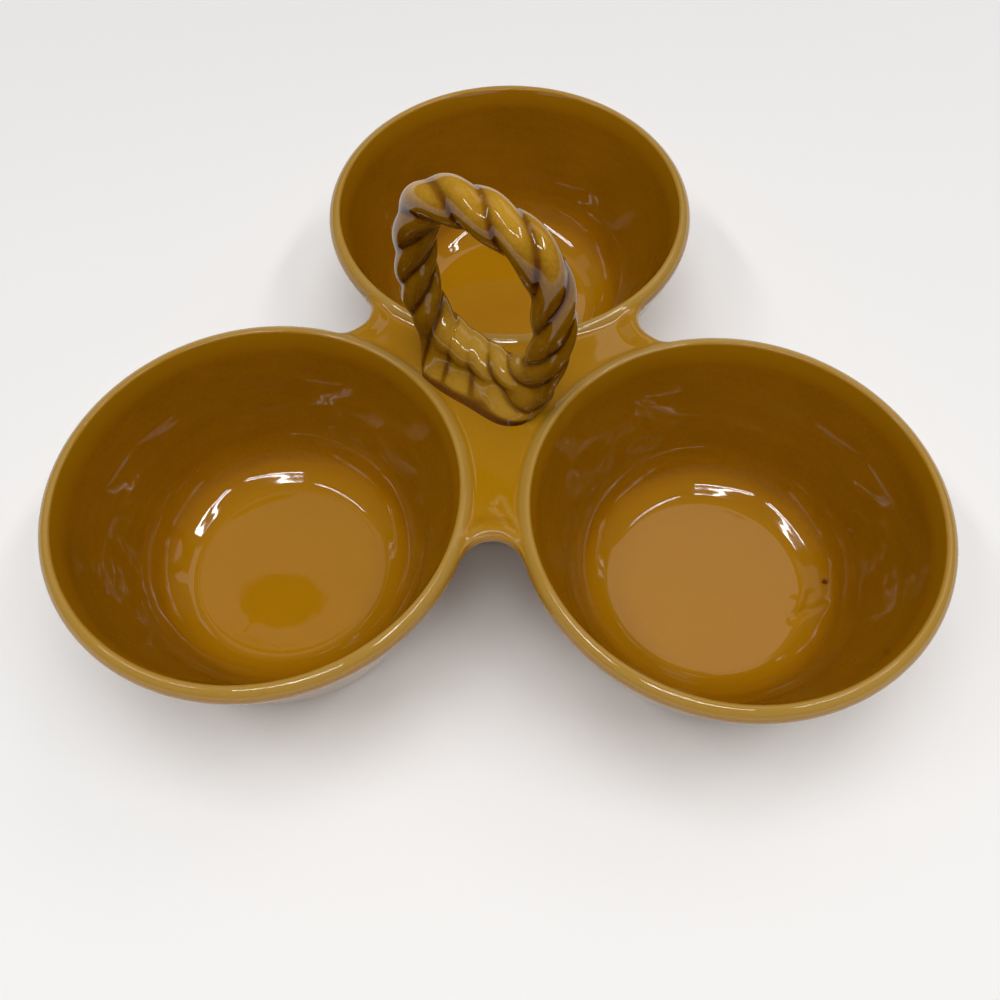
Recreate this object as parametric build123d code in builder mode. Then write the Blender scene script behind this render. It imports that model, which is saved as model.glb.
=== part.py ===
from build123d import *
from math import asin, cos, degrees, radians, sin, sqrt, tan
import os

# Divided serving bowl of glazed fired clay: three round bowls on foot rings, joined by a thin web,
# and a loop of three twisted coils that stands on the web as the handle.
# Sizes are in millimetres and degrees. The part stands on Z = 0, and +Y points to the back bowl.

# Bowls, all three alike
RIM_RADIUS = 70.0
BOWL_HEIGHT = 66.0
BOWL_GAP = 13.8            # between two neighbouring rims
WALL = 4.8
WALL_LEAN = 19.0           # of the straight upper wall, from upright
RIM_FLAT = 0.1             # level strip left on top of the rounded rim
FLOOR_RADIUS = 35.3        # where the floor turns up
FLOOR_THICKNESS = 4.5
FLOOR_ROUND = 9.0          # inside, from the floor to the heel
HEEL_ANGLE = 30.0          # slope of the heel between the floor and the wall
KNEE_ROUND = 25.0          # inside, from the heel to the wall
ROUND_SHARE = 0.95         # most of the heel that the rounding of the knee may take up
FOOT_RADIUS = 34.0
FOOT_WIDTH = 5.0
FOOT_HEIGHT = 3.5
FOOT_ROUND = 1.2
FOOT_LEDGE = 0.3           # level strip between the foot and the curve of the belly

# Web between the bowls
WEB_DROP = 2.0             # its top lies this far below the rims
WEB_THICKNESS = 4.5
NOTCH_RADIUS = 10.2        # of the hollow free edge, which runs into both rims
LIP_RADIUS = 3.0           # of the rolled lip along that edge
LIP_RISE = 1.0             # of the lip above the web
LIP_END_ANGLE = 15.0       # the lip stops this far round before it would thin out on a rim

# Loop of rope
LOOP_WIDTH = 52.9          # from rope centre to rope centre
LOOP_HEIGHT = 67.1
LOOP_CORNER = 19.0         # radius of the four corners
LOOP_CROWN = 15.0          # half the turn of the flatter stretches between the corners
LOOP_TURN = -33.0          # of the loop's plane about the upright axis
LOOP_TILT = -2.4           # of the loop within its plane
LOOP_SHIFT_X = -5.5        # of the loop from the middle of the web
LOOP_SHIFT_Y = 5.4
ROPE_RADIUS = 7.3
GROOVE_DEPTH = 1.2
TWISTS = 14 / 3            # turns of the rope in one trip round the loop
TWIST_START = 55.5         # place of the first coil where the loop starts
SECTIONS_PER_TWIST = 16

# Seat: the pad of clay that beds the foot of the loop on the web
SEAT_LENGTH = 41.0
SEAT_WIDTH = 22.0
SEAT_CORNER = 9.0
SEAT_HEIGHT = 7.0
SEAT_TAPER = 38.0
SEAT_BED = 1.4             # clay under the rope
SEAT_ALONG = 4.1           # shift of the pad from under the loop, along it
SEAT_ACROSS = -3.3         # and across it, to the front

JOINT_GAP = 0.1            # slip line between two pieces of clay

STRAND_NAMES = ["rope_strand_a", "rope_strand_b", "rope_strand_c"]
BOWL_NAMES = ["bowl_back", "bowl_left", "bowl_right"]

# Plan: the bowls stand on a triangle, with a notch between each two
spacing = 2 * RIM_RADIUS + BOWL_GAP
bowl_ring = spacing / sqrt(3)
notch_reach = RIM_RADIUS + NOTCH_RADIUS
notch_ring = bowl_ring / 2 + sqrt(notch_reach**2 - (spacing / 2) ** 2)
middle = Vector(0, -bowl_ring / 4)
bowl_turn = 360 / len(BOWL_NAMES)
bowl_angles = [90 + bowl_turn * number for number in range(len(BOWL_NAMES))]
notch_angles = [angle + bowl_turn / 2 for angle in bowl_angles]


def around_middle(angle, distance):
    """Point in plan at an angle and a distance from the middle of the web."""
    return middle + Vector(distance, 0).rotate(Axis.Z, angle)


bowl_centres = [around_middle(angle, bowl_ring) for angle in bowl_angles]
notch_centres = [around_middle(angle, notch_ring) for angle in notch_angles]


def upright_axis(centre):
    return Axis((centre.X, centre.Y, 0), (0, 0, 1))


def upright_plane(centre, angle=0, height=0):
    """Plane through an upright axis: local X points out at the angle, and local Y points up."""
    out = Vector(1, 0).rotate(Axis.Z, angle)
    return Plane(origin=(centre.X, centre.Y, height), x_dir=out, z_dir=(out.Y, -out.X, 0))


# Bowl profile: both sides of the wall lean alike, and the rim is a full round
lean = tan(radians(WALL_LEAN))
lip_round = (WALL - RIM_FLAT) / 2
rim_overhang = cos(radians(WALL_LEAN)) - 1 + (1 + sin(radians(WALL_LEAN))) * lean
rim_outer = RIM_RADIUS + lip_round * rim_overhang
rim_inner = rim_outer - WALL / cos(radians(WALL_LEAN))
belly_corner = rim_outer - (BOWL_HEIGHT - FOOT_HEIGHT) * lean
belly_tangent = belly_corner - FOOT_RADIUS - FOOT_ROUND - FOOT_LEDGE
belly_round = belly_tangent / tan(radians(90 - WALL_LEAN) / 2)

floor_top = FOOT_HEIGHT + FLOOR_THICKNESS
heel = tan(radians(HEEL_ANGLE))
inner_at_floor = rim_inner - (BOWL_HEIGHT - floor_top) * lean
knee_rise = (inner_at_floor - FLOOR_RADIUS) / (1 / heel - lean)
knee_radius = FLOOR_RADIUS + knee_rise / heel
knee_tangent = knee_rise / sin(radians(HEEL_ANGLE)) - FLOOR_ROUND * tan(radians(HEEL_ANGLE) / 2)
knee_limit = knee_tangent / tan(radians(90 - WALL_LEAN - HEEL_ANGLE) / 2)
knee_round = min(KNEE_ROUND, ROUND_SHARE * knee_limit)


def outside_points(gap=0):
    """Outside of a bowl from its foot to its rim, moved out by a gap."""
    return [
        (FOOT_RADIUS + gap, FOOT_HEIGHT),
        (belly_corner + gap, FOOT_HEIGHT),
        (rim_outer + gap, BOWL_HEIGHT),
    ]


# The three bowls
bowls = []
for name, centre in zip(BOWL_NAMES, bowl_centres):
    with BuildPart() as bowl:
        with BuildSketch(upright_plane(centre)):
            with BuildLine():
                FilletPolyline(
                    (0, FOOT_HEIGHT),
                    (FOOT_RADIUS - FOOT_WIDTH, FOOT_HEIGHT),
                    (FOOT_RADIUS - FOOT_WIDTH, 0),
                    (FOOT_RADIUS, 0),
                    *outside_points(),
                    (rim_inner, BOWL_HEIGHT),
                    (knee_radius, floor_top + knee_rise),
                    (FLOOR_RADIUS, floor_top),
                    (0, floor_top),
                    radius=[0, FOOT_ROUND, FOOT_ROUND, FOOT_ROUND]
                    + [FOOT_ROUND, belly_round, lip_round]
                    + [lip_round, knee_round, FLOOR_ROUND, 0],
                    close=True,
                )
            make_face()
        revolve(axis=upright_axis(centre))
    bowl.part.label = name
    bowls.append(bowl.part)

# The room that the bowls and their slip lines take up
with BuildPart() as bowl_room:
    for centre in bowl_centres:
        with BuildSketch(upright_plane(centre)):
            with BuildLine():
                FilletPolyline(
                    (0, FOOT_HEIGHT),
                    *outside_points(JOINT_GAP),
                    (0, BOWL_HEIGHT),
                    radius=[0, 0, belly_round, lip_round, 0],
                    close=True,
                )
            make_face()
        revolve(axis=upright_axis(centre))

# The web: a slab between the bowls, with a rolled lip along each free edge
web_top = BOWL_HEIGHT - WEB_DROP
lip_ring = NOTCH_RADIUS + LIP_RADIUS
lip_height = web_top + LIP_RISE - LIP_RADIUS
half_lip = degrees(asin(spacing / 2 / notch_reach)) - LIP_END_ANGLE
plan_corners = [point for pair in zip(bowl_centres, notch_centres) for point in pair]

with BuildPart() as centre_web:
    with BuildSketch(Plane.XY.offset(web_top - WEB_THICKNESS)):
        with BuildLine():
            Polyline(*plan_corners, close=True)
        make_face()
        with Locations(*notch_centres):
            Circle(lip_ring, mode=Mode.SUBTRACT)
    extrude(amount=WEB_THICKNESS)
    for angle, centre in zip(notch_angles, notch_centres):
        with BuildSketch(upright_plane(centre, angle + 180 - half_lip)):
            with Locations((lip_ring, lip_height)):
                Circle(LIP_RADIUS)
        revolve(axis=upright_axis(centre), revolution_arc=2 * half_lip)
    add(bowl_room.part, mode=Mode.SUBTRACT)
centre_web.part.label = "centre_web"

# Centre line of the loop: eight tangent arcs, from the right end of its foot up and round
crown = radians(LOOP_CROWN)
corner_reach = LOOP_CORNER * (cos(crown) - sin(crown))
half_width = LOOP_WIDTH / 2 - corner_reach
half_height = LOOP_HEIGHT / 2 - corner_reach
fall = 1 - cos(crown)
foot_radius = (half_width * sin(crown) - half_height * fall) / (sin(crown) ** 2 - fall**2)
side_radius = (half_height * sin(crown) - half_width * fall) / (sin(crown) ** 2 - fall**2)
corner = (LOOP_CORNER, 90 - 2 * LOOP_CROWN)
side = (side_radius, 2 * LOOP_CROWN)
foot = (foot_radius, 2 * LOOP_CROWN)
loop_start = Vector(foot_radius * sin(crown), foot_radius * fall - LOOP_HEIGHT / 2)

with BuildLine() as loop_outline:
    end = loop_start.rotate(Axis.Z, LOOP_TILT)
    heading = Vector(1, 0).rotate(Axis.Z, LOOP_TILT + LOOP_CROWN)
    for radius, turn in 2 * [corner, side, corner, foot]:
        arc = JernArc(end, heading, radius, turn)
        end, heading = arc @ 1, arc % 1

loop_middle = middle + Vector(LOOP_SHIFT_X, LOOP_SHIFT_Y)
loop_height = web_top + SEAT_BED + ROPE_RADIUS + LOOP_HEIGHT / 2
loop_plane = upright_plane(loop_middle, LOOP_TURN, loop_height)
rope_line = loop_outline.wire().moved(loop_plane.location)


def rope_plane(along, turn=0):
    """Plane across the rope: local X points out of the loop, turned about the rope."""
    place, forward = rope_line @ along, rope_line % along
    outward = forward.cross(loop_plane.z_dir)
    return Plane(origin=place, x_dir=outward.rotate(Axis((0, 0, 0), forward), turn), z_dir=forward)


# Section of a coil: a wedge from the middle of the rope, with a round back
half_wedge = radians(180 / len(STRAND_NAMES))
wedge_tip = JOINT_GAP / 2 / sin(half_wedge)
back = ROPE_RADIUS - wedge_tip
edge = back - GROOVE_DEPTH
edge_x = wedge_tip + edge * cos(half_wedge)
edge_y = edge * sin(half_wedge)
seam = JOINT_GAP / 2 / rope_line.length
steps = round(TWISTS * SECTIONS_PER_TWIST)

strands = []
for number, name in enumerate(STRAND_NAMES):
    with BuildPart() as strand:
        for step in range(steps + 1):
            along = seam + (1 - 2 * seam) * step / steps
            turn = TWIST_START + 360 * (number / len(STRAND_NAMES) + TWISTS * along)
            with BuildSketch(rope_plane(along, turn)):
                with BuildLine():
                    Line((wedge_tip, 0), (edge_x, -edge_y))
                    ThreePointArc((edge_x, -edge_y), (ROPE_RADIUS, 0), (edge_x, edge_y))
                    Line((edge_x, edge_y), (wedge_tip, 0))
                make_face()
        loft()
    strand.part.label = name
    strands.append(strand.part)

# The seat: a tapered pad between the rims, hollowed along the rope
seat_middle = loop_middle + Vector(SEAT_ALONG, SEAT_ACROSS).rotate(Axis.Z, LOOP_TURN)
with BuildPart() as handle_seat:
    with BuildSketch(Plane(origin=(seat_middle.X, seat_middle.Y, web_top), x_dir=loop_plane.x_dir)):
        RectangleRounded(SEAT_LENGTH, SEAT_WIDTH, SEAT_CORNER)
    extrude(amount=SEAT_HEIGHT, taper=SEAT_TAPER)
    with BuildSketch(rope_plane(0)):
        Circle(ROPE_RADIUS + JOINT_GAP)
    sweep(path=rope_line, mode=Mode.SUBTRACT)
    add(bowl_room.part, mode=Mode.SUBTRACT)
handle_seat.part.label = "handle_seat"

os.makedirs("parts", exist_ok=True)
for piece in [*bowls, centre_web.part, handle_seat.part, *strands]:
    export_step(piece, f"parts/{piece.label}.step")
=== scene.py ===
from itertools import product
from math import cos, pi, radians, sin, sqrt, tan

import bpy
import numpy as np
from mathutils import Matrix, Vector


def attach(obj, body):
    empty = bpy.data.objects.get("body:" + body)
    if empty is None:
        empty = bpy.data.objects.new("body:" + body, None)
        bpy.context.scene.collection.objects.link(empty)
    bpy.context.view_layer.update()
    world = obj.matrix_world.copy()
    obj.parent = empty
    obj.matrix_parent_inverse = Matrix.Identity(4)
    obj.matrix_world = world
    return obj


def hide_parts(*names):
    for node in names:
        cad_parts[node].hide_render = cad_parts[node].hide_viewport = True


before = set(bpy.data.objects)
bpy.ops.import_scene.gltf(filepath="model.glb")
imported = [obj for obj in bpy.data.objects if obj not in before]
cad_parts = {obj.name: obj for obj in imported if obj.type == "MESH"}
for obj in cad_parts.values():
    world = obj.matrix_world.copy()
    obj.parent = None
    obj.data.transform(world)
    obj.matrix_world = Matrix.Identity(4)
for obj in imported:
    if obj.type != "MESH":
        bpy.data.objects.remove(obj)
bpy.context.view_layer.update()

# Divided serving bowl: three glazed bowls joined by a web, with a loop of twisted rope as the handle.
# Sizes are in millimetres, as in the model, and become metres where a mesh is made.
# The patterns of the glaze and the stage are in metres.
MM = 0.001

# Bowls
RIM_RADIUS = 70.0
BOWL_HEIGHT = 66.0
BOWL_GAP = 13.8            # between two neighbouring rims
WALL = 4.8
WALL_LEAN = radians(19.0)
RIM_FLAT = 0.1             # level strip on top of the rims in the model
RIM_TILT = radians(24.3)   # of the rim's top, down to the outside
RIM_INNER_ROUND = 1.4
RIM_OUTER_ROUND = 4.15
FLOOR_RADIUS = 35.3
FLOOR_TOP = 8.0
FLOOR_ROUND = 9.0          # from the floor to the heel
HEEL_ANGLE = radians(30.0)
KNEE_ROUND = 25.0          # from the heel to the wall
FOOT_RADIUS = 34.0
FOOT_WIDTH = 5.0
FOOT_HEIGHT = 3.5
FOOT_ROUND = 1.2
BELLY_ROUND = 19.5         # outside, from the underside to the wall

# Web
WEB_TOP = 64.0
WEB_THICKNESS = 4.5
WEB_EDGE_ROUND = 2.0
NOTCH_RADIUS = 10.2
LIP_RADIUS = 3.0
LIP_RISE = 1.0
LIP_END_RADIUS = 1.4       # where it runs into a rim
LIP_GROWTH = (2.2, 8.2)    # distance from the rim's core where the lip starts to grow, and where it is full
WEB_FILLET = 1.6           # reach of the soft corner between the web and a rim
WEB_FILLET_END = 0.3       # where the web's edge runs into the rim
FILLET_GROWTH = 6.0        # from that edge to the full fillet
LIP_FILLET = 3.0           # between the web and a lip

# Loop of rope
LOOP_WIDTH = 52.9
LOOP_HEIGHT = 67.1
LOOP_CORNER = 19.0
LOOP_CROWN = radians(15.0)
LOOP_TURN = radians(-33.0)
LOOP_TILT = radians(-2.4)
LOOP_SHIFT = (-5.5, 5.4)
ROPE_RADIUS = 7.3
ROPE_BED = 1.4             # clay between the rope and the web
STRANDS = 3
GROOVES = 14               # that one line along the rope crosses
GROOVE_DEPTH = 1.1
GROOVE_SOFTNESS = 0.3
GROOVE_START = radians(25.1)

# Lay of the rope, which is a little uneven. Places along the rope are shares of the way round the loop.
LAY_MEAN = 0.0114
LAY_WAVES = ((1, -0.0031, -0.0215), (2, -0.0116, -0.0111))  # waves round the loop, cosine part, sine part
LAY_SWAY = 0.014           # of the grooves on the outside of the loop, and the other way on its inside
LAY_STEEPNESS = (          # place and sway: the lay is steeper on top and at the left of the foot
    (0.0, 0.4), (0.05, -0.3), (0.15, -0.8), (0.28, -1.0),
    (0.53, 1.0), (0.78, -1.0), (0.93, 1.0), (1.0, 0.4),
)
LAY_SHIFT = 0.022          # of the grooves over the top and down the left side
SHIFT_START = (0.36, 0.48)  # where that sets in
SHIFT_END = (1.0, 0.88)    # and where it runs out, from its end back
LAY_BEND = 0.05            # of the grooves at the right of the foot
BEND_START = (1.0, 9.0)    # where that sets in, from the middle of the loop to the right
BEND_CURVE = 1.5
FRONT_SIDE = radians(288)  # side of the rope that the grooves were counted on

# Plan: the bowls stand on a triangle about the middle, with a notch between each two
BOWL_NAMES = ["bowl_back", "bowl_left", "bowl_right"]
spacing = 2 * RIM_RADIUS + BOWL_GAP
bowl_ring = spacing / sqrt(3)
notch_ring = bowl_ring / 2 + sqrt((RIM_RADIUS + NOTCH_RADIUS) ** 2 - (spacing / 2) ** 2)
middle = np.array([0, -bowl_ring / 4])


def around_middle(angle, distance):
    return middle + distance * np.array([cos(angle), sin(angle)])


bowl_centres = [around_middle(radians(90 + 120 * number), bowl_ring) for number in range(3)]
notch_centres = [around_middle(radians(150 + 120 * number), notch_ring) for number in range(3)]


def smooth_step(low, high, value):
    """0 at low, 1 at high, and a smooth ramp between."""
    share = np.clip((value - low) / (high - low), 0, 1)
    return share * share * (3 - 2 * share)


def bell(value, width):
    """1 at zero, falling off on both sides."""
    return np.exp(-((value / width) ** 2))


def add_piece(name, points, faces, slot, nodes, **layers):
    """Smooth mesh piece that stands for CAD nodes, with a number at each point for every layer."""
    mesh = bpy.data.meshes.new(name)
    mesh.from_pydata((points * MM).tolist(), [], faces)
    mesh.shade_smooth()
    for layer, values in layers.items():
        mesh.attributes.new(layer, "FLOAT", "POINT").data.foreach_set("value", values.astype(np.float32))
    mesh.materials.append(glazes[slot])
    piece = bpy.data.objects.new(name, mesh)
    bpy.context.scene.collection.objects.link(piece)
    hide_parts(*nodes)
    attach(piece, "root")


# Glaze. Its colour follows its thickness: pale where it runs thin on an edge, and dark where it pools. The
# same number also carries painted light and shade: darker walls inside the bowls, a lighter top and foot on
# the rope, painted shade beside the rope's grooves, and a dark band round its foot that is partly painted
# shade.
# Each stop is a thickness, as a share of the deepest pool, and a colour.

BOWL_COLOURS = (
    (0.0, (0.4, 0.25, 0.06)),
    (0.16, (0.39, 0.215, 0.03)),
    (0.38, (0.37, 0.17, 0.002)),
    (0.68, (0.32, 0.128, 0.001)),
    (1.0, (0.1, 0.024, 0.0)),
)
ROPE_COLOURS = (
    (0.0, (0.5, 0.29, 0.045)),
    (0.2, (0.46, 0.24, 0.016)),
    (0.45, (0.25, 0.11, 0.001)),
    (0.75, (0.12, 0.036, 0.0)),
    (1.0, (0.045, 0.01, 0.0)),
)
SPECK_COLOUR = (0.08, 0.03, 0.0)
CLAY_COLOURS = ((0.52, 0.4, 0.28), (0.43, 0.32, 0.21))

# Patterns, in waves to the metre
CLOUD_SCALE = 26.0
STREAK_SCALE = 70.0
GRAIN_SCALE = 900.0
SPECK_SCALE = 420.0
WAVE_SCALE = 45.0
RIPPLE_SCALE = 110.0
PEEL_SCALE = 260.0
LEVEL_STRETCH = (1, 1, 5)  # makes streaks and waves run level
# Part of a noise's range that makes a pattern
MOTTLE_RANGE = (0.25, 0.75)
SPECK_RANGE = (0.82, 0.86)
CLAY_RANGE = (0.35, 0.65)
GLOSS_RANGE = (0.3, 0.7)
# Change of thickness by clouds, streaks and grain
BOWL_MOTTLING = (0.03, 0.015, 0.02)
ROPE_MOTTLING = (0.1, 0.03, 0.035)
SPECK_STRENGTH = 0.5
GLAZE_ROUGHNESS = (0.025, 0.05)
CLAY_ROUGHNESS = 0.8
# Height and strength of the waves, the ripple and the peel on the surface
BUMPS = ((0.00004, 0.5), (0.00003, 0.4), (0.000015, 0.5))


def add_node(tree, kind, links=None, **settings):
    """Shader node with its settings, and with numbers or sockets put into its inputs."""
    made = tree.nodes.new("ShaderNode" + kind)
    for name, value in settings.items():
        setattr(made, name, value)
    for name, value in (links or {}).items():
        if isinstance(value, bpy.types.NodeSocket):
            tree.links.new(value, made.inputs[name])
        else:
            made.inputs[name].default_value = value
    return made


def mix_colours(tree, share, first, second):
    made = add_node(tree, "Mix", {"Factor": share}, data_type="RGBA")
    for socket, colour in ((made.inputs[6], first), (made.inputs[7], second)):
        if isinstance(colour, bpy.types.NodeSocket):
            tree.links.new(colour, socket)
        else:
            socket.default_value = (*colour, 1)
    return made.outputs[2]


def noise(tree, place, scale, detail=2.0):
    return add_node(tree, "TexNoise", {"Vector": place, "Scale": scale, "Detail": detail}).outputs["Fac"]


def ramp(tree, value, low, high, from_value=0.0, to_value=1.0):
    """Value carried smoothly from one range to another."""
    links = {"Value": value, "From Min": low, "From Max": high, "To Min": from_value, "To Max": to_value}
    return add_node(tree, "MapRange", links, interpolation_type="SMOOTHSTEP").outputs["Result"]


def attribute(tree, name):
    return add_node(tree, "Attribute", attribute_name=name).outputs["Fac"]


def combine(tree, operation, first, second):
    return add_node(tree, "Math", {0: first, 1: second}, operation=operation).outputs[0]


def glaze(name, stops, mottling):
    """Glossy glaze over clay, from the glaze thickness with painted light and shade, and the dryness,
    stored at each point of a mesh.
    """
    material = bpy.data.materials.new(name)
    material.use_nodes = True
    tree = material.node_tree
    shader = tree.nodes["Principled BSDF"]
    place = add_node(tree, "TexCoord").outputs["Object"]
    level = add_node(tree, "Mapping", {"Vector": place, "Scale": LEVEL_STRETCH}).outputs["Vector"]
    dry = attribute(tree, "dry")

    clouds = noise(tree, place, CLOUD_SCALE, detail=3.0)
    streaks = noise(tree, level, STREAK_SCALE, detail=4.0)
    grain = noise(tree, place, GRAIN_SCALE)
    # glaze thickness, with painted light and shade on the bowls' walls and on the rope
    thickness = attribute(tree, "thickness")
    for pattern, amount in zip((clouds, streaks, grain), mottling):
        thickness = combine(tree, "ADD", thickness, ramp(tree, pattern, *MOTTLE_RANGE, -amount, amount))
    colours = add_node(tree, "ValToRGB", {"Fac": thickness})
    elements = colours.color_ramp.elements
    while len(elements) < len(stops):
        elements.new(1.0)
    for element, (position, colour) in zip(elements, stops):
        element.position = position
        element.color = (*colour, 1)
    specks = ramp(tree, noise(tree, place, SPECK_SCALE, detail=1.0), *SPECK_RANGE, 0.0, SPECK_STRENGTH)
    glazed = mix_colours(tree, specks, colours.outputs["Color"], SPECK_COLOUR)
    clay = mix_colours(tree, ramp(tree, grain, *CLAY_RANGE), *CLAY_COLOURS)
    tree.links.new(mix_colours(tree, dry, glazed, clay), shader.inputs["Base Color"])

    gloss = ramp(tree, clouds, *GLOSS_RANGE, *GLAZE_ROUGHNESS)
    matt = ramp(tree, dry, 0.0, 1.0, 0.0, CLAY_ROUGHNESS)
    tree.links.new(combine(tree, "MAXIMUM", gloss, matt), shader.inputs["Roughness"])

    waves = ramp(tree, noise(tree, level, WAVE_SCALE), 0.0, 1.0)
    heights = [waves, noise(tree, place, RIPPLE_SCALE), noise(tree, place, PEEL_SCALE)]
    target = shader.inputs["Normal"]
    for height, (distance, strength) in reversed(list(zip(heights, BUMPS))):
        bump = add_node(tree, "Bump", {"Height": height, "Distance": distance, "Strength": strength})
        tree.links.new(bump.outputs["Normal"], target)
        target = bump.inputs["Normal"]
    return material


glazes = {
    "bowl_glaze": glaze("amber_bowl", BOWL_COLOURS, BOWL_MOTTLING),
    "rope_glaze": glaze("amber_rope", ROPE_COLOURS, ROPE_MOTTLING),
}


# Bowls: turned from a profile, with faint turning rings, a sunk disc in the floor and small marks

BOWL_SEGMENTS = 288
PROFILE_RUN = 1.2          # between two points of a straight run of the profile
PROFILE_STEPS = 14         # in a round corner
RING_HEIGHT = 0.008
RING_PITCH = 5.5
RING_WOBBLE = 0.8          # the rings wander up and down on the way round
RING_TURN = 1.0
RING_START = 6.0           # above the floor, where the rings are full
RING_END = 8.0             # below the rim, where they start to fade
DISC_RADIUS = 31.5
DISC_EDGE = 4.0            # half the width of the slope round the disc
DISC_DEPTH = 0.06
# Lumps, hollows and runs of glaze: two ends in plan from the middle of the bowl, width and height
MARKS = {
    "bowl_back": [],
    "bowl_left": [
        ((-12.5, -23.5), (-12.4, -23.5), 0.7, 0.35),
        ((-53.1, 18.7), (-52.3, 0.6), 1.0, 0.06),
        ((-52.3, 0.6), (-46.0, -7.0), 1.0, 0.06),
    ],
    "bowl_right": [
        ((37.5, -3.7), (35.0, -10.3), 1.6, 0.45),
        ((35.0, -10.3), (30.3, -13.3), 1.8, 0.45),
        ((41.5, -8.4), (37.5, -10.1), 1.2, 0.35),
        ((32.1, -5.4), (29.0, -9.8), 1.6, -0.3),
        ((51.1, -0.6), (45.7, -9.8), 1.0, 0.08),
        ((45.7, -9.8), (40.2, -17.6), 1.0, 0.08),
    ],
}
SPECK_BOWL, SPECK_PLACE, SPECK_SIZE = "bowl_right", (42.5, 0.2), 0.75

# Thickness of the glaze, with painted shade that darkens the walls inside
FLOOR_GLAZE = 0.46
# painted shade: the walls inside are darker than the floor
WALL_GLAZE_AND_SHADE = 0.76
SHOULDER_GLAZE = 0.46      # inside, just below the rim
RIM_GLAZE = 0.12
OUTSIDE_GLAZE = 0.5
# Where it changes: heights above the floor, then depths below the rim
HEEL_SPAN = (0.3, 8.0)
SHOULDER_SPAN = (9.0, 1.4)
EDGE_SPAN = (0.9, 0.0)
OUTSIDE_SPAN = (5.0, 0.5)
# Height above the table where the foot ring's bare clay ends
DRY_SPAN = (0.9, 0.3)

# Section of the rim: its top falls away to the outside from a tight inner edge
lean = tan(WALL_LEAN)
rim_fall = tan(RIM_TILT)
rim_spread = (WALL - RIM_FLAT) / 2 * (cos(WALL_LEAN) - 1 + (1 + sin(WALL_LEAN)) * lean)
rim_inner = RIM_RADIUS + rim_spread - WALL / cos(WALL_LEAN)
edge_rise = (cos(WALL_LEAN) + sin(RIM_TILT)) / cos(WALL_LEAN - RIM_TILT) - 1
rim_peak = BOWL_HEIGHT + RIM_INNER_ROUND * edge_rise
roll_radius = RIM_RADIUS - RIM_OUTER_ROUND
roll_height = rim_peak - (roll_radius - rim_inner) * rim_fall - RIM_OUTER_ROUND / cos(RIM_TILT)
rim_outer = roll_radius + (RIM_OUTER_ROUND - (roll_height - BOWL_HEIGHT) * sin(WALL_LEAN)) / cos(WALL_LEAN)
outer_at_table = rim_outer - BOWL_HEIGHT * lean
rim_corner_height = (rim_peak - (outer_at_table - rim_inner) * rim_fall) / (1 + lean * rim_fall)
rim_corner_radius = rim_outer + (rim_corner_height - BOWL_HEIGHT) * lean
belly_corner = rim_outer - (BOWL_HEIGHT - FOOT_HEIGHT) * lean
inner_at_floor = rim_inner - (BOWL_HEIGHT - FLOOR_TOP) * lean
knee_rise = (inner_at_floor - FLOOR_RADIUS) / (1 / tan(HEEL_ANGLE) - lean)
knee_radius = FLOOR_RADIUS + knee_rise / tan(HEEL_ANGLE)


def rounded(corners, radii):
    """Points along a line with round corners. Its straight runs are divided too."""
    corners = [np.array(corner, float) for corner in corners]
    points = [corners[0]]

    def add_run(end):
        start = points[-1]
        count = max(1, round(np.linalg.norm(end - start) / PROFILE_RUN))
        points.extend(start + (end - start) * step / count for step in range(1, count + 1))

    for before, corner, after, radius in zip(corners, corners[1:], corners[2:], radii):
        back = (before - corner) / np.linalg.norm(before - corner)
        ahead = (after - corner) / np.linalg.norm(after - corner)
        half = np.arccos(np.clip(back @ ahead, -1, 1)) / 2
        centre = corner + (back + ahead) / np.linalg.norm(back + ahead) * radius / sin(half)
        start = corner + back * radius / tan(half)
        end = corner + ahead * radius / tan(half)
        add_run(start)
        for share in np.linspace(0, 1, PROFILE_STEPS + 1)[1:]:
            spoke = (start - centre) * (1 - share) + (end - centre) * share
            points.append(centre + spoke / np.linalg.norm(spoke) * radius)
    add_run(corners[-1])
    return np.array(points)


def bowl_profile():
    """Section of a bowl from the middle of its underside, round the rim, to the middle of its floor."""
    corners = [
        (0, FOOT_HEIGHT), (FOOT_RADIUS - FOOT_WIDTH, FOOT_HEIGHT), (FOOT_RADIUS - FOOT_WIDTH, 0),
        (FOOT_RADIUS, 0), (FOOT_RADIUS, FOOT_HEIGHT), (belly_corner, FOOT_HEIGHT),
        (rim_corner_radius, rim_corner_height), (rim_inner, rim_peak),
        (knee_radius, FLOOR_TOP + knee_rise), (FLOOR_RADIUS, FLOOR_TOP), (0, FLOOR_TOP),
    ]
    rounds = [FOOT_ROUND] * 4 + [BELLY_ROUND, RIM_OUTER_ROUND, RIM_INNER_ROUND, KNEE_ROUND, FLOOR_ROUND]
    return rounded(corners, rounds)


def off_line(x, y, start, end):
    """Distance of points from a straight line between two ends."""
    across, up = end[0] - start[0], end[1] - start[1]
    share = np.clip(((x - start[0]) * across + (y - start[1]) * up) / (across**2 + up**2), 0, 1)
    return np.hypot(x - start[0] - share * across, y - start[1] - share * up)


def near_rim(span, level):
    """Smooth ramp from one depth below the rim to another."""
    return smooth_step(BOWL_HEIGHT - span[0], BOWL_HEIGHT - span[1], level)


def outside_thickness(level):
    """Thickness of the glaze on the outside of a bowl: it has run off the rim."""
    return OUTSIDE_GLAZE + (RIM_GLAZE - OUTSIDE_GLAZE) * near_rim(OUTSIDE_SPAN, level)


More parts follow.
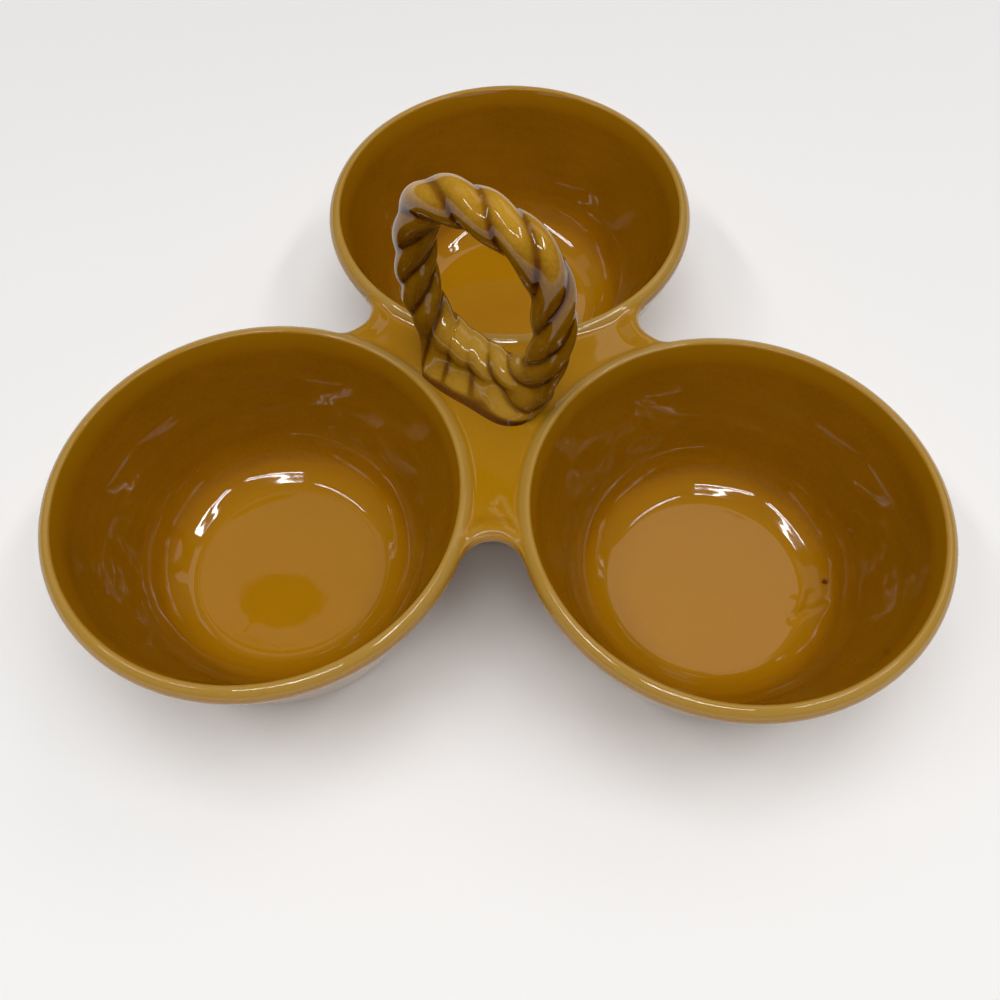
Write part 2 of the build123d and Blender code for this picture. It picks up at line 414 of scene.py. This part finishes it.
def inside_thickness(level):
    """Thickness of the glaze inside a bowl, thin at the rim, with painted shade that darkens the walls,
    which face away from the light above.
    """
    heel = smooth_step(FLOOR_TOP + HEEL_SPAN[0], FLOOR_TOP + HEEL_SPAN[1], level)
    # Painted shade: darker from the heel up the wall
    thickness = FLOOR_GLAZE + (WALL_GLAZE_AND_SHADE - FLOOR_GLAZE) * heel
    thickness = thickness + (SHOULDER_GLAZE - WALL_GLAZE_AND_SHADE) * near_rim(SHOULDER_SPAN, level)
    return thickness + (RIM_GLAZE - SHOULDER_GLAZE) * near_rim(EDGE_SPAN, level)


def bowl_lift(name, radius, height, turn, along):
    """Rise of the inside of a bowl above its plain profile."""
    rings = smooth_step(FLOOR_TOP, FLOOR_TOP + RING_START, height)
    rings = rings * smooth_step(BOWL_HEIGHT, BOWL_HEIGHT - RING_END, height)
    phase = 2 * pi * along / RING_PITCH + RING_WOBBLE * np.sin(turn + RING_TURN)
    lift = RING_HEIGHT * rings * np.sin(phase)
    lift = lift - DISC_DEPTH * smooth_step(DISC_RADIUS + DISC_EDGE, DISC_RADIUS - DISC_EDGE, radius)
    for start, end, width, rise in MARKS[name]:
        off = off_line(radius * np.cos(turn), radius * np.sin(turn), start, end)
        lift = lift + rise * bell(off, width)
    return lift


def turned_faces(rows):
    """Faces of a turned piece whose rows of points are followed by its two poles."""
    here = np.arange(BOWL_SEGMENTS)
    there = np.roll(here, -1)
    faces = []
    for low in range(0, (rows - 1) * BOWL_SEGMENTS, BOWL_SEGMENTS):
        high = low + BOWL_SEGMENTS
        faces += np.stack([low + here, low + there, high + there, high + here], 1).tolist()
    first_pole = rows * BOWL_SEGMENTS
    last_pole = first_pole + 1
    last_row = first_pole - BOWL_SEGMENTS
    faces += [(first_pole, b, a) for a, b in zip(here.tolist(), there.tolist())]
    faces += [(last_pole, a, b) for a, b in zip((last_row + here).tolist(), (last_row + there).tolist())]
    return faces


def add_bowl(name, centre):
    rows = bowl_profile()[1:-1]
    ahead = np.gradient(rows, axis=0)
    ahead /= np.linalg.norm(ahead, axis=1)[:, None]
    radius, height = rows[:, :1], rows[:, 1:]
    out, up = ahead[:, 1:], -ahead[:, :1]
    inside = np.arange(len(rows))[:, None] > np.argmax(rows[:, 1])
    along = np.concatenate([[0], np.cumsum(np.linalg.norm(np.diff(rows, axis=0), axis=1))])[:, None]

    turn = np.linspace(0, 2 * pi, BOWL_SEGMENTS, endpoint=False)[None]
    lift = inside * bowl_lift(name, radius, height, turn, along)
    radius, height = radius + out * lift, height + up * lift
    points = np.stack([radius * np.cos(turn), radius * np.sin(turn), height], -1).reshape(-1, 3)
    poles = [(0, 0, FOOT_HEIGHT), (0, 0, FLOOR_TOP - DISC_DEPTH)]
    points = np.concatenate([points, poles])

    level = points[:, 2]
    within = np.append(np.repeat(inside, BOWL_SEGMENTS), [False, True])
    thickness = np.where(within, inside_thickness(level), outside_thickness(level))
    if name == SPECK_BOWL:
        off = np.hypot(points[:, 0] - SPECK_PLACE[0], points[:, 1] - SPECK_PLACE[1])
        thickness = thickness + within * bell(off, SPECK_SIZE)
    dry = smooth_step(*DRY_SPAN, level)
    faces = turned_faces(len(rows))
    layers = {"thickness": thickness, "dry": dry}
    add_piece("glazed_" + name, points + [*centre, 0], faces, "bowl_glaze", [name], **layers)


for name, centre in zip(BOWL_NAMES, bowl_centres):
    add_bowl(name, centre)


# Web: an implicit surface that runs smoothly onto the rims and round the free edges

CORE_SHARE = 0.75          # of the wall, from its outside to the core where the web's skin ends
CORE_RADIUS = RIM_RADIUS - WALL * CORE_SHARE
CORE_HEIGHT = BOWL_HEIGHT - WALL / 2
SKIN_DEPTH = 0.2           # of the web's skin inside a bowl, past the soft corner
SKIN_DIVE = (0.7, 1.6)     # where the skin goes under, as shares of the soft corner's reach
WEB_MARGIN = 4.0           # that the skin runs on along a rim
WEB_DROP = 2.0             # and down a wall
WEB_STEP = 0.55            # of the grid that the surface is found on
GRID_BELOW = 1.0           # room in the grid under the skin
GRID_ABOVE = 2.0           # and over the rims
SLOPE_STEP = 0.01          # over which a field's slope is measured
LEAST_SLOPE = 0.25         # squared, so that no point jumps
EVENING_ROUNDS = 5
CLOSING_ROUNDS = 3
# Runs of glaze on the front of the web, in plan from the middle of the three bowls
WEB_RUNS = (
    ((-0.4, -45.3), (1.2, -43.2), (3.2, -44.4), (4.6, -47.3), (6.2, -50.6), (8.0, -54.1)),
    ((-0.8, -47.5), (0.9, -49.3), (2.9, -51.4), (3.9, -53.9)),
)
RUN_WIDTH = 0.9
RUN_HEIGHT = 0.22
RUN_DEPTH = 1.0            # below the web's top, where no run reaches
WEB_GLAZE = 0.38
LIP_THINNING = 0.1
LIP_LINE = 1.0             # from the notch to the line where the lip's glaze is thinnest
LIP_LINE_WIDTH = 1.5
LIP_SPAN = (3.0, 1.0)      # below the web's top
RUN_THINNING = 0.18
RIM_BLEND = (0.2, 1.3)     # distance from the web over which its glaze becomes the rim's


def smooth_min(first, second, reach):
    """Smaller of two distances, with a round corner where they are close."""
    blend = np.clip(reach - np.abs(first - second), 0, None) / reach
    return np.minimum(first, second) - blend * blend * reach / 4


def plan_distances(place, centres):
    """Distance in plan from each of some centres."""
    return [np.hypot(place[..., 0] - x, place[..., 1] - y) for x, y in centres]


def notch_distance(place):
    """Distance in plan from the middle of the nearest notch."""
    return np.min(plan_distances(place, notch_centres), axis=0)


def web_plan(place):
    """Distance in plan from the outline of the web, negative inside."""
    corners = [point for pair in zip(bowl_centres, notch_centres) for point in pair]
    sides = []
    for start, end in zip(corners, corners[1:] + corners[:1]):
        ahead = (end - start) / np.linalg.norm(end - start)
        sides.append((place[..., 0] - start[0]) * ahead[1] - (place[..., 1] - start[1]) * ahead[0])
    return np.max(sides, axis=0)


def rim_distance(radius, height):
    """Distance from the outside of a bowl and the top of its rim, negative in the clay."""
    outer = (radius - rim_outer) * cos(WALL_LEAN) - (height - BOWL_HEIGHT) * sin(WALL_LEAN)
    top = (radius - rim_inner) * sin(RIM_TILT) + (height - rim_peak) * cos(RIM_TILT)
    across, up = radius - roll_radius, height - roll_height
    past_top = across * cos(RIM_TILT) - up * sin(RIM_TILT) > 0
    past_wall = across * sin(WALL_LEAN) + up * cos(WALL_LEAN) > 0
    return np.where(past_top & past_wall, np.hypot(across, up) - RIM_OUTER_ROUND, np.maximum(outer, top))


def rim_core(place):
    """How far places are within the middle of a bowl's wall, where the web's skin ends."""
    core = CORE_RADIUS - np.clip(CORE_HEIGHT - place[..., 2], 0, None) * lean
    return np.max([core - radius for radius in plan_distances(place, bowl_centres)], axis=0)


def web_distance(place):
    """Distance from the web and its lips without the rims, negative inside."""
    height = place[..., 2]
    outline, notch = web_plan(place), notch_distance(place)
    side = np.maximum(outline, NOTCH_RADIUS - notch) + WEB_EDGE_ROUND
    flat = np.abs(height - WEB_TOP + WEB_THICKNESS / 2) - WEB_THICKNESS / 2 + WEB_EDGE_ROUND
    past_edge = np.hypot(np.clip(side, 0, None), np.clip(flat, 0, None))
    slab = past_edge + np.clip(np.maximum(side, flat), None, 0) - WEB_EDGE_ROUND
    lip_radius = LIP_END_RADIUS + (LIP_RADIUS - LIP_END_RADIUS) * smooth_step(*LIP_GROWTH, -rim_core(place))
    lip = np.hypot(notch - NOTCH_RADIUS - LIP_RADIUS, height - WEB_TOP - LIP_RISE + LIP_RADIUS) - lip_radius
    return smooth_min(slab, np.maximum(lip, outline), LIP_FILLET)


def web_field(place):
    """Signed distance from the skin of the web and of the rims beside it, negative in the clay."""
    height = place[..., 2]
    web = web_distance(place)
    outline = web_plan(place)
    reach = WEB_FILLET_END + (WEB_FILLET - WEB_FILLET_END) * smooth_step(0.0, FILLET_GROWTH, -outline)
    wall = np.min([rim_distance(radius, height) for radius in plan_distances(place, bowl_centres)], axis=0)
    wall = wall + SKIN_DEPTH * smooth_step(SKIN_DIVE[0] * reach, SKIN_DIVE[1] * reach, web)
    edge = np.maximum(outline, NOTCH_RADIUS - notch_distance(place))
    below = WEB_TOP - WEB_THICKNESS - WEB_DROP - height
    return np.max([smooth_min(wall, web, reach), rim_core(place), edge - WEB_MARGIN, below], axis=0)


def slope_of(field, points):
    """Gradient of a field at some points."""
    moves = SLOPE_STEP * np.eye(3)
    rises = [field(points + move) - field(points - move) for move in moves]
    return np.stack(rises, -1) / (2 * SLOPE_STEP)


def cells_of(field, low, high, step):
    """One point in each grid cell that the zero surface of a field crosses, and quads that join them."""
    grid = np.stack(np.meshgrid(*(np.arange(a, b, step) for a, b in zip(low, high)), indexing="ij"), -1)
    inside = field(grid) < 0
    cells = [size - 1 for size in inside.shape]
    corners = [
        inside[tuple(slice(shift, shift + count) for shift, count in zip(shifts, cells))]
        for shifts in product((0, 1), repeat=3)
    ]
    crossed = np.any(corners, axis=0) & ~np.all(corners, axis=0)
    number = np.full(cells, -1)
    number[crossed] = np.arange(crossed.sum())
    points = np.array(low) + (np.argwhere(crossed) + 0.5) * step

    quads = []
    axes = np.eye(3, dtype=int)
    for axis in range(3):
        change = np.diff(inside.astype(int), axis=axis)
        edge = np.argwhere(change)
        second, third = axes[(axis + 1) % 3], axes[(axis + 2) % 3]
        ring = [edge - second - third, edge - third, edge, edge - second]
        found = np.stack([number[tuple(cell.T)] for cell in ring], 1)
        inward = change[tuple(edge.T)] > 0
        found[inward] = found[inward][:, ::-1]
        quads.append(found)
    return points, np.concatenate(quads)


def surface_of(field, low, high, step):
    """Mesh on the zero surface of a field, with its points moved onto it and spread out evenly."""
    points, quads = cells_of(field, low, high, step)
    starts, ends = quads.ravel(), np.roll(quads, -1, axis=1).ravel()
    neighbours = np.bincount(starts, minlength=len(points))[:, None]
    for turn in range(EVENING_ROUNDS + CLOSING_ROUNDS):
        slope = slope_of(field, points)
        points = points - slope * (field(points) / np.maximum((slope**2).sum(-1), LEAST_SLOPE))[:, None]
        if turn < EVENING_ROUNDS:
            total = np.stack([np.bincount(starts, points[ends, axis], len(points)) for axis in range(3)], 1)
            points = (points + total / neighbours) / 2
    return points, quads.tolist()


def add_web():
    reach = notch_ring + WEB_MARGIN
    low = (-reach, middle[1] - reach, WEB_TOP - WEB_THICKNESS - WEB_DROP - GRID_BELOW)
    high = (reach, middle[1] + reach, BOWL_HEIGHT + GRID_ABOVE)
    points, faces = surface_of(web_field, low, high, WEB_STEP)

    x, y = (points[:, :2] - middle).T
    ends = [pair for line in WEB_RUNS for pair in zip(line, line[1:])]
    ridge = np.max([bell(off_line(x, y, start, end), RUN_WIDTH) for start, end in ends], axis=0)
    ridge = ridge * (points[:, 2] > WEB_TOP - RUN_DEPTH)
    raised = np.maximum(points[:, 2], WEB_TOP + RUN_HEIGHT * ridge)
    points[:, 2] = np.where(ridge > 0, raised, points[:, 2])

    level = points[:, 2]
    on_lip = bell(notch_distance(points) - NOTCH_RADIUS - LIP_LINE, LIP_LINE_WIDTH)
    on_lip = on_lip * smooth_step(WEB_TOP - LIP_SPAN[0], WEB_TOP - LIP_SPAN[1], level)
    thickness = WEB_GLAZE - LIP_THINNING * on_lip - RUN_THINNING * ridge
    on_rim = smooth_step(*RIM_BLEND, web_distance(points))
    thickness = thickness + (outside_thickness(level) - thickness) * on_rim
    add_piece("glazed_web", points, faces, "bowl_glaze", ["centre_web"], thickness=thickness)


add_web()


# Handle: a tube of three twisted coils round the loop, with a foot that spreads onto the web

ROPE_STEPS = 720
ROPE_SIDES = 96
FOOT_START = 17.0          # height of the rope's middle above the web where the foot starts to spread
FOOT_FULL = 9.5            # and where it has its full spread
FOOT_LONGER = 6.0          # how much higher that is on the right
FOOT_CHANGE = 5.0          # half the length over which the left of the foot becomes the right
END_START = 12.0           # where the foot's front starts to round off towards the right
END_LENGTH = 12.9
END_LIMIT = 0.995          # share of that length at which it is cut
SADDLE_SPAN = (0.2, -0.5)  # of the cosine round the rope, where the inside of the foot is smoothed
SADDLE_SMOOTHING = 0.75
SKIRT_FRONT = 8.2          # spread of the foot to the front
SKIRT_BACK = 1.5
SKIRT_CURVE = 1.5
SKIRT_DEPTH = 1.0          # of the foot below the top of the web
SKIRT_TURN = 0.8           # share of the tube's underside that makes the sides of the foot
SKIRT_BLEND = 0.35         # share of it that carries the rope over into the foot
SKIRT_PLAIN = (0.5, 1.0)   # share of the way down where the grooves run out
# The dark line round the bottom of the foot is partly pooled glaze and partly painted shade in the crease
# against the web.
SEAM_HEIGHT = 2.6          # of the dark line of glaze round the foot
SEAM_FADE = 1.6

# Thickness of the glaze on the rope, with painted light and shade
SIDE_GLAZE = 0.5
# lighter where the rope faces up: partly glaze running thin on top, partly painted light
TOP_THINNING_AND_LIGHT = 0.32
# painted light: the foot is lighter, as it gets less light from above
FOOT_PAINTED_LIGHT = 0.12
GROOVE_POOL = 0.4          # in the bottom of a groove
# grooves pool less where they face up: partly thinner glaze, partly painted light
GROOVE_TOP_THINNING_AND_LIGHT = 0.18    # on top of the rope
GROOVE_WIDTH = 0.16        # as a share of a coil's rise, as the next width
GROOVE_SHADE = 0.12        # beside a groove
GROOVE_SHADE_WIDTH = 0.5
SADDLE_CLEARING = 0.8
# partly pooled glaze, partly painted shade in the crease round the foot
SEAM_POOL_AND_SHADE = 0.65


def loop_line(count):
    """Places and headings at even steps round the loop, in its plane, from the middle of its foot."""
    reach = LOOP_CORNER * (cos(LOOP_CROWN) - sin(LOOP_CROWN))
    half_width, half_height = LOOP_WIDTH / 2 - reach, LOOP_HEIGHT / 2 - reach
    fall = 1 - cos(LOOP_CROWN)
    scale = sin(LOOP_CROWN) ** 2 - fall**2
    foot_radius = (half_width * sin(LOOP_CROWN) - half_height * fall) / scale
    side_radius = (half_height * sin(LOOP_CROWN) - half_width * fall) / scale
    corner = (LOOP_CORNER, pi / 2 - 2 * LOOP_CROWN)
    half_foot = (foot_radius, LOOP_CROWN)
    half_loop = [half_foot, corner, (side_radius, 2 * LOOP_CROWN), corner, half_foot]
    radii, turns = np.array(2 * half_loop).T
    ends = np.concatenate([[0], np.cumsum(radii * turns)])
    along = np.linspace(0, ends[-1], count + 1)
    heading = np.interp(along, ends, np.concatenate([[0], np.cumsum(turns)]))
    halfway = (heading[1:] + heading[:-1]) / 2
    steps = np.stack([np.cos(halfway), np.sin(halfway)], 1) * ends[-1] / count
    start = np.array([[0, -LOOP_HEIGHT / 2]])
    places = np.concatenate([start, start + np.cumsum(steps, axis=0)])
    return places[:-1], heading[:-1]


def twist(share):
    """Turn of the rope at a share of the way round."""
    uneven = LAY_MEAN + LAY_SHIFT * smooth_step(*SHIFT_START, share) * smooth_step(*SHIFT_END, share)
    for count, cosine, sine in LAY_WAVES:
        angle = 2 * pi * count * share
        uneven = uneven + cosine * np.cos(angle) + sine * np.sin(angle)
    return GROOVE_START + 2 * pi * GROOVES / STRANDS * (share - uneven)


def rope_shape():
    """Points of the rope in rings. For its glaze: rise of the coils, share of saddle and foot, height."""
    places, heading = loop_line(ROPE_STEPS)
    places = places @ np.array([[cos(LOOP_TILT), sin(LOOP_TILT)], [-sin(LOOP_TILT), cos(LOOP_TILT)]])
    heading = heading[:, None] + LOOP_TILT
    share = np.arange(ROPE_STEPS)[:, None] / ROPE_STEPS
    side = np.linspace(0, 2 * pi, ROPE_SIDES, endpoint=False)[None]

    # Middle of the rope, and where it is in the foot
    out_along, out_up = np.sin(heading), -np.cos(heading)
    centre_along, centre_up = places[:, :1], places[:, 1:] + ROPE_BED + ROPE_RADIUS + LOOP_HEIGHT / 2
    right = smooth_step(-FOOT_CHANGE, FOOT_CHANGE, centre_along)
    foot = smooth_step(FOOT_START + FOOT_LONGER * right, FOOT_FULL + FOOT_LONGER * right, centre_up)
    under = np.where(places[:, 1:] < 0, np.clip(-np.cos(side) * out_up, 0, 1), 0)
    down = np.clip(under / SKIRT_TURN, 0, 1)

    # Coils
    sway = LAY_SWAY * np.interp(share, *zip(*LAY_STEEPNESS)) * (np.cos(side) - cos(FRONT_SIDE))
    bend = LAY_BEND * smooth_step(*BEND_START, centre_along) * foot * down**BEND_CURVE
    wave = np.sin((side - twist(share + sway - bend)) * STRANDS / 2)
    lobe = np.hypot(wave, GROOVE_SOFTNESS) - GROOVE_SOFTNESS
    lobe = lobe / (np.hypot(1, GROOVE_SOFTNESS) - GROOVE_SOFTNESS)
    saddle = foot * (1 - right) * smooth_step(*SADDLE_SPAN, np.cos(side))
    radius = ROPE_RADIUS - GROOVE_DEPTH * (1 - lobe) * (1 - SADDLE_SMOOTHING * saddle)
    along = centre_along + radius * np.cos(side) * out_along
    across = radius * np.sin(side)
    up = centre_up + radius * np.cos(side) * out_up

    # Skirt of the foot
    spread = np.where(np.sin(side) < 0, SKIRT_FRONT, SKIRT_BACK) * down**SKIRT_CURVE
    tuck = 1 - smooth_step(SKIRT_TURN, 1.0, under)
    plain = radius + (ROPE_RADIUS - radius) * smooth_step(*SKIRT_PLAIN, down)
    end = np.sqrt(1 - np.clip((along - END_START) / END_LENGTH, 0, END_LIMIT) ** 2)
    skirt_across = np.sign(np.sin(side)) * (plain + spread) * tuck * (1 - down + down * end)
    skirt_up = centre_up * (1 - down) - SKIRT_DEPTH * down
    blend = foot * smooth_step(0.0, SKIRT_BLEND, under)
    across = across * (1 - blend) + skirt_across * blend
    up = up * (1 - blend) + skirt_up * blend

    base = middle + LOOP_SHIFT
    x = base[0] + along * cos(LOOP_TURN) - across * sin(LOOP_TURN)
    y = base[1] + along * sin(LOOP_TURN) + across * cos(LOOP_TURN)
    return np.stack([x, y, WEB_TOP + up], -1), lobe, saddle, foot, up


def rope_thickness(points, lobe, saddle, foot, up):
    """Thickness of the glaze on the rope, with pools in the grooves, and painted light and shade: lighter
    where it faces up, partly as glaze running thin there, and lighter on the foot; painted shade beside the
    grooves; and a dark band round the foot, partly pooled glaze and partly painted shade.
    """
    steps = [np.roll(points, -1, axis) - np.roll(points, 1, axis) for axis in (1, 0)]
    normal = np.cross(*steps)
    facing_up = normal[..., 2] / np.linalg.norm(normal, axis=-1)
    # Grooves facing up are lighter: partly thinner glaze, partly painted light
    groove = (GROOVE_POOL - GROOVE_TOP_THINNING_AND_LIGHT * facing_up) * bell(lobe, GROOVE_WIDTH)
    groove = (groove + GROOVE_SHADE * bell(lobe, GROOVE_SHADE_WIDTH)) * (1 - SADDLE_CLEARING * saddle)
    # Dark band round the foot: partly pooled glaze, partly painted shade in the crease
    seam = SEAM_POOL_AND_SHADE * foot * smooth_step(SEAM_HEIGHT, SEAM_HEIGHT - SEAM_FADE, up)
    # Lighter where it faces up, partly glaze running thin and partly painted light, and painted light on
    # the foot
    return SIDE_GLAZE - TOP_THINNING_AND_LIGHT * facing_up - FOOT_PAINTED_LIGHT * foot + np.maximum(groove, seam)


def add_handle():
    points, *glaze_guides = rope_shape()
    thickness = rope_thickness(points, *glaze_guides).ravel()
    ring, spoke = np.meshgrid(np.arange(ROPE_STEPS), np.arange(ROPE_SIDES), indexing="ij")
    next_ring, next_spoke = (ring + 1) % ROPE_STEPS, (spoke + 1) % ROPE_SIDES
    corners = [(ring, spoke), (ring, next_spoke), (next_ring, next_spoke), (next_ring, spoke)]
    faces = np.stack([a * ROPE_SIDES + b for a, b in corners], -1).reshape(-1, 4).tolist()
    nodes = ["handle_seat", "rope_strand_a", "rope_strand_b", "rope_strand_c"]
    add_piece("rope_handle", points.reshape(-1, 3), faces, "rope_glaze", nodes, thickness=thickness)


add_handle()


# Stage: white table and backdrop, a key light, ceiling panels that the glaze mirrors, a flag that hides
# a spot of them, and pairs of lamp tubes

TABLE_SIZE = 6.0
TABLE_COLOUR = (0.93, 0.93, 0.93)
TABLE_FADE = (0.2, 1.2)    # where the table starts to fade into the white backdrop, and where it has
MATT = 0.9                 # roughness
WORLD_GLOW = 0.1           # radiance, where 1 shows as white
HORIZON = (0.02, 0.12)     # sine of the height where the backdrop's mirror image starts to fade, and ends
CEILING = 1.5              # height of the lights
KEY_PLACE = (0.0, -0.12, CEILING + 0.1)
KEY_SIZE = (1.0, 1.0)
KEY_GLOW = 3.3
PANEL_COLOUR = (1.0, 0.86, 0.76)
# Each panel: place, size and radiance
PANELS = {
    "right": ((0.88, 0.84), (1.46, 0.84), 1.0),
    "back": ((0.27, 1.62), (0.5, 0.6), 1.0),
    "left": ((-0.85, 0.78), (1.1, 0.84), 0.45),
}
FLAG_PLACE = (-0.465, 0.58, CEILING - 0.01)
FLAG_SIZE = (0.085, 0.06)
FLAG_CORNERS = 24
FLAG_COLOUR = (0.01, 0.01, 0.01)
TUBE_LENGTH = 0.9
TUBE_WIDTH = 0.022
TUBE_GAP = 0.085
TUBE_GLOW = 45.0
# Each pair of tubes: place and turn
TUBES = {
    "right": (0.8, -0.22, radians(-16)),
    "left": (-0.85, -0.3, radians(25)),
    "front": (0.0, -0.86, radians(90)),
}


def add_flat(name, points, material_name, colour):
    """Flat matt thing on the stage. Gives its material's nodes."""
    mesh = bpy.data.meshes.new(name)
    mesh.from_pydata(points, [], [range(len(points))])
    material = bpy.data.materials.new(material_name)
    material.use_nodes = True
    shader = material.node_tree.nodes["Principled BSDF"]
    shader.inputs["Base Color"].default_value = (*colour, 1)
    shader.inputs["Roughness"].default_value = MATT
    mesh.materials.append(material)
    flat = bpy.data.objects.new(name, mesh)
    bpy.context.scene.collection.objects.link(flat)
    return material.node_tree


def seen_share(tree, mirrored=1.0):
    """1 for what the camera sees, a share for what is mirrored, and 0 for rays that light the object."""
    path = add_node(tree, "LightPath").outputs
    mirror = combine(tree, "MAXIMUM", path["Is Glossy Ray"], path["Is Transmission Ray"])
    return combine(tree, "MAXIMUM", path["Is Camera Ray"], combine(tree, "MULTIPLY", mirror, mirrored))


def fade_into_backdrop(tree):
    """Turn the far part of the table white."""
    place = add_node(tree, "TexCoord").outputs["Object"]
    distance = add_node(tree, "VectorMath", {0: place}, operation="LENGTH").outputs["Value"]
    links = {
        "Fac": combine(tree, "MULTIPLY", ramp(tree, distance, *TABLE_FADE), seen_share(tree)),
        1: tree.nodes["Principled BSDF"].outputs["BSDF"],
        2: add_node(tree, "Emission", {"Strength": 1.0}).outputs["Emission"],
    }
    faded = add_node(tree, "MixShader", links).outputs["Shader"]
    tree.links.new(faded, tree.nodes["Material Output"].inputs["Surface"])


def add_backdrop():
    """Dim room that is white to the camera, and near the horizon to the glaze."""
    world = bpy.data.worlds.new("room")
    world.use_nodes = True
    tree = world.node_tree
    direction = add_node(tree, "TexCoord").outputs["Generated"]
    height = add_node(tree, "SeparateXYZ", {"Vector": direction}).outputs["Z"]
    white = seen_share(tree, ramp(tree, height, *HORIZON, 1.0, 0.0))
    background = tree.nodes["Background"]
    background.inputs["Color"].default_value = (1, 1, 1, 1)
    tree.links.new(ramp(tree, white, 0.0, 1.0, WORLD_GLOW, 1.0), background.inputs["Strength"])
    bpy.context.scene.world = world


def add_light(name, place, size, glow, turn=0.0, colour=(1, 1, 1), mirrored=True):
    """Level area light that faces down, of a given radiance. Unless mirrored, it gives no highlights."""
    light = bpy.data.lights.new(name, "AREA")
    light.shape = "RECTANGLE"
    light.size, light.size_y = size
    light.energy = glow * pi * size[0] * size[1]
    light.color = colour
    lamp = bpy.data.objects.new(name, light)
    lamp.location = place
    lamp.rotation_euler = (0, 0, turn)
    lamp.visible_glossy = mirrored
    bpy.context.scene.collection.objects.link(lamp)


def add_stage():
    half = TABLE_SIZE / 2
    corners = [(-half, -half, 0), (half, -half, 0), (half, half, 0), (-half, half, 0)]
    fade_into_backdrop(add_flat("table_top", corners, "table_white", TABLE_COLOUR))
    turns = np.linspace(0, 2 * pi, FLAG_CORNERS, endpoint=False)
    x, y, z = FLAG_PLACE
    outline = [(x + FLAG_SIZE[0] * cos(turn), y + FLAG_SIZE[1] * sin(turn), z) for turn in turns]
    add_flat("flag", outline, "flag_black", FLAG_COLOUR)

    add_light("key", KEY_PLACE, KEY_SIZE, KEY_GLOW, mirrored=False)
    for name, (place, size, glow) in PANELS.items():
        add_light("panel_" + name, (*place, CEILING), size, glow, colour=PANEL_COLOUR)
    for name, (x, y, turn) in TUBES.items():
        for number, offset in enumerate((-TUBE_GAP / 2, TUBE_GAP / 2)):
            place = (x + offset * cos(turn), y + offset * sin(turn), CEILING)
            add_light(f"tube_{name}_{number}", place, (TUBE_WIDTH, TUBE_LENGTH), TUBE_GLOW, turn)
    add_backdrop()


# Camera at the photograph's place

CAMERA_AZIMUTH = radians(2.88)
CAMERA_ELEVATION = radians(59.85)
CAMERA_ROLL = radians(-0.67)
CAMERA_TARGET = (1.7, -67.5, 66.0)
CAMERA_DISTANCE = 321.0
CAMERA_LENS = 36.16
SENSOR_WIDTH = 36.0
NEAREST_SEEN = 0.01        # metres from the camera


def add_camera():
    flat = cos(CAMERA_ELEVATION)
    back = Vector((sin(CAMERA_AZIMUTH) * flat, -cos(CAMERA_AZIMUTH) * flat, sin(CAMERA_ELEVATION)))
    right = Vector((cos(CAMERA_AZIMUTH), sin(CAMERA_AZIMUTH), 0))
    up = back.cross(right)
    across = right * cos(CAMERA_ROLL) + up * sin(CAMERA_ROLL)
    upright = up * cos(CAMERA_ROLL) - right * sin(CAMERA_ROLL)
    data = bpy.data.cameras.new("camera")
    data.sensor_width = SENSOR_WIDTH
    data.lens = CAMERA_LENS
    data.clip_start = NEAREST_SEEN
    camera = bpy.data.objects.new("camera", data)
    turned = Matrix((across, upright, back)).transposed().to_4x4()
    turned.translation = (Vector(CAMERA_TARGET) + back * CAMERA_DISTANCE) * MM
    camera.matrix_world = turned
    bpy.context.scene.collection.objects.link(camera)
    bpy.context.scene.camera = camera


add_stage()
add_camera()
bpy.context.scene.view_settings.view_transform = "Standard"
